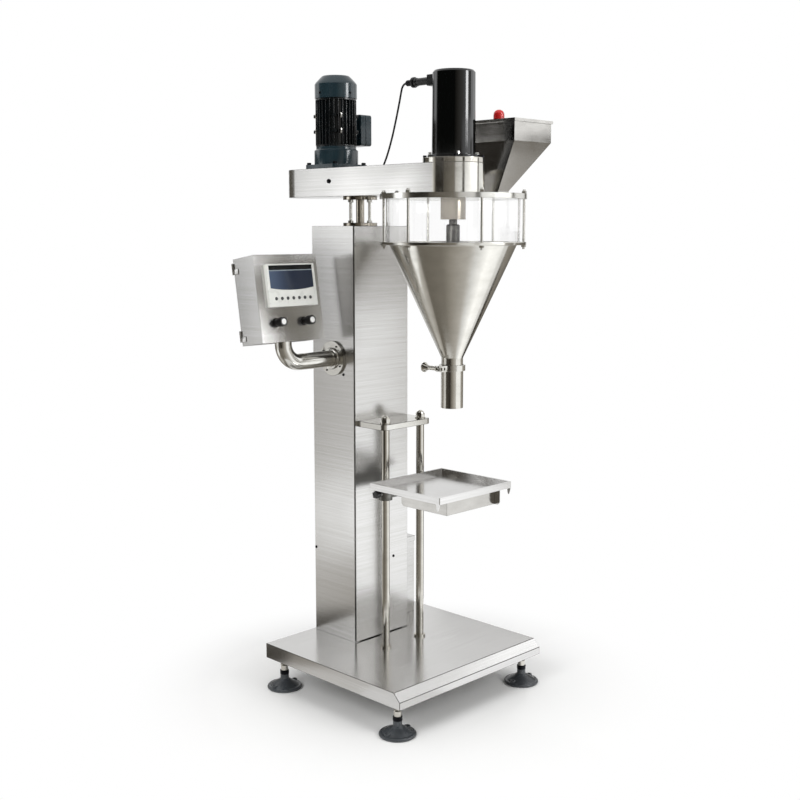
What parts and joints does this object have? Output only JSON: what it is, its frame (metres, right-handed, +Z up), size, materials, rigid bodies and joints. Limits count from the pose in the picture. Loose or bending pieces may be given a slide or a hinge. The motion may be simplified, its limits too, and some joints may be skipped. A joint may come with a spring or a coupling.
{
  "type": "powder filling machine",
  "caption": "Floor-standing auger powder filler: column on a levelling base, overhung arm with two motors, conical hopper with clear ring, height-set tray and control box.",
  "frame": {"origin": "on the floor, at the middle of the base plate and of the foot pads' anchor holes", "axes": "+Z up, front and filling head towards -Y, control box towards -X, feed funnel towards +X"},
  "size_m": [0.784, 0.906, 1.928],
  "materials": {
    "sheet_steel": "stainless sheet, brushed along its length",
    "polished_steel": "stainless steel, polished",
    "frame_steel": "plain steel tube and cast steel, dull",
    "shaft_steel": "turned steel",
    "foot_rubber": "dark grey moulded nylon pad with a plated screw",
    "motor_green": "blue-grey machine paint",
    "motor_black": "black paint on cast fins",
    "black_gloss": "gloss black",
    "black_matt": "matt black",
    "belt_rubber": "black toothed belt rubber",
    "acrylic": "clear acrylic",
    "ivory": "off-white moulded plastic",
    "screen": "dark blue display under a clear film",
    "red": "red plastic cap"
  },
  "bodies": {
    "machine_frame": {"base_cover": "sheet_steel", "base_frame": "frame_steel", "column_shell": "sheet_steel", "column_front": "sheet_steel", "side_cabinet": "sheet_steel", "guide_rods": "polished_steel", "rod_bracket": "polished_steel", "spacer_post": "polished_steel", "post_studs": "sheet_steel", "arm_housing": "sheet_steel", "arm_bottom_cover": "sheet_steel", "motor_endshield": "motor_green", "motor_body": "motor_black", "motor_fan_cover": "motor_green", "terminal_box": "motor_green", "drive_belt": "belt_rubber", "head_bearings": "polished_steel", "bearing_sleeve": "polished_steel", "head_flange": "polished_steel", "servo_motor": "black_matt", "servo_cover": "black_gloss", "hopper_lid": "polished_steel", "hopper_window": "acrylic", "hopper_cone": "polished_steel", "tie_rods": "sheet_steel", "outlet_tube": "polished_steel", "outlet_clamp": "polished_steel", "feed_funnel": "sheet_steel", "level_sensor": "red", "control_pipe": "polished_steel", "control_box": "sheet_steel", "hmi_bezel": "ivory", "hmi_screen": "screen", "servo_cable": "black_matt", "cable_fittings": "black_matt"},
    "foot_front_left": {"foot_front_left": "foot_rubber"},
    "foot_front_right": {"foot_front_right": "foot_rubber"},
    "foot_rear_left": {"foot_rear_left": "foot_rubber"},
    "foot_rear_right": {"foot_rear_right": "foot_rubber"},
    "tray_carriage": {"carriage": "frame_steel", "tray_bracket": "sheet_steel", "tray": "sheet_steel"},
    "clamp_knob": {"clamp_knob": "black_matt"},
    "screw": {"auger": "shaft_steel", "shaft_coupling": "shaft_steel"},
    "stirrer": {"agitator": "shaft_steel", "driven_pulley": "shaft_steel"},
    "motor_shaft": {"motor_rotor": "shaft_steel", "drive_pulley": "shaft_steel"},
    "rear_door": {"rear_door": "sheet_steel"},
    "thumb_nut": {"thumb_nut": "polished_steel"},
    "knob_left": {"knob_left": "black_matt"},
    "knob_right": {"knob_right": "black_matt"},
    "key_1": {"key_1": "black_matt"},
    "key_2": {"key_2": "black_matt"},
    "key_3": {"key_3": "black_matt"},
    "key_4": {"key_4": "black_matt"},
    "key_5": {"key_5": "black_matt"},
    "key_6": {"key_6": "black_matt"},
    "key_7": {"key_7": "black_matt"}
  },
  "joints": [
    {"name": "foot_front_left_height", "type": "slide", "parent": "machine_frame", "child": "foot_front_left", "axis": [0, 0, 1], "range_m": [-0.01, 0.015]},
    {"name": "foot_front_right_height", "type": "slide", "parent": "machine_frame", "child": "foot_front_right", "axis": [0, 0, 1], "range_m": [-0.01, 0.015]},
    {"name": "foot_rear_left_height", "type": "slide", "parent": "machine_frame", "child": "foot_rear_left", "axis": [0, 0, 1], "range_m": [-0.01, 0.015]},
    {"name": "foot_rear_right_height", "type": "slide", "parent": "machine_frame", "child": "foot_rear_right", "axis": [0, 0, 1], "range_m": [-0.01, 0.015]},
    {"name": "tray_height", "type": "slide", "parent": "machine_frame", "child": "tray_carriage", "axis": [0, 0, 1], "range_m": [-0.4, 0.12]},
    {"name": "clamp_knob_turn", "type": "hinge", "parent": "tray_carriage", "child": "clamp_knob", "pos_m": [-0.11, 0.003, 0.643], "axis": [-1, 0, 0], "range_deg": [0, 360]},
    {"name": "auger_spin", "type": "hinge", "parent": "machine_frame", "child": "screw", "pos_m": [0, -0.202, 1.3], "axis": [0, 0, 1], "continuous": true},
    {"name": "stirrer_spin", "type": "hinge", "parent": "machine_frame", "child": "stirrer", "pos_m": [0, -0.202, 1.3], "axis": [0, 0, 1], "continuous": true},
    {"name": "motor_spin", "type": "hinge", "parent": "machine_frame", "child": "motor_shaft", "pos_m": [0, 0.303, 1.7], "axis": [0, 0, 1], "continuous": true},
    {"name": "rear_door_hinge", "type": "hinge", "parent": "machine_frame", "child": "rear_door", "pos_m": [-0.443, 0.25588, 1.23386], "axis": [0, 0.1564, 0.9877], "range_deg": [0, 105]},
    {"name": "key_1_press", "type": "slide", "parent": "machine_frame", "child": "key_1", "axis": [0, 0.9877, -0.1564], "range_m": [0, 0.001], "stiffness_N_per_m": 800, "springref_m": -0.0008},
    {"name": "key_2_press", "type": "slide", "parent": "machine_frame", "child": "key_2", "axis": [0, 0.9877, -0.1564], "range_m": [0, 0.001], "stiffness_N_per_m": 800, "springref_m": -0.0008},
    {"name": "key_3_press", "type": "slide", "parent": "machine_frame", "child": "key_3", "axis": [0, 0.9877, -0.1564], "range_m": [0, 0.001], "stiffness_N_per_m": 800, "springref_m": -0.0008},
    {"name": "key_4_press", "type": "slide", "parent": "machine_frame", "child": "key_4", "axis": [0, 0.9877, -0.1564], "range_m": [0, 0.001], "stiffness_N_per_m": 800, "springref_m": -0.0008},
    {"name": "key_5_press", "type": "slide", "parent": "machine_frame", "child": "key_5", "axis": [0, 0.9877, -0.1564], "range_m": [0, 0.001], "stiffness_N_per_m": 800, "springref_m": -0.0008},
    {"name": "key_6_press", "type": "slide", "parent": "machine_frame", "child": "key_6", "axis": [0, 0.9877, -0.1564], "range_m": [0, 0.001], "stiffness_N_per_m": 800, "springref_m": -0.0008},
    {"name": "key_7_press", "type": "slide", "parent": "machine_frame", "child": "key_7", "axis": [0, 0.9877, -0.1564], "range_m": [0, 0.001], "stiffness_N_per_m": 800, "springref_m": -0.0008},
    {"name": "knob_left_turn", "type": "hinge", "parent": "machine_frame", "child": "knob_left", "pos_m": [-0.375, 0.13781, 1.18067], "axis": [0, -0.9877, 0.1564], "range_deg": [-135, 135]},
    {"name": "knob_right_turn", "type": "hinge", "parent": "machine_frame", "child": "knob_right", "pos_m": [-0.265, 0.13781, 1.18067], "axis": [0, -0.9877, 0.1564], "range_deg": [-135, 135]},
    {"name": "thumb_nut_turn", "type": "hinge", "parent": "machine_frame", "child": "thumb_nut", "pos_m": [-0.053, -0.18, 1.044], "axis": [0, 1, 0], "range_deg": [0, 360]}
  ],
  "couplings": [
    {"joint": "motor_spin", "follows": "stirrer_spin", "ratio": 2.5}
  ]
}
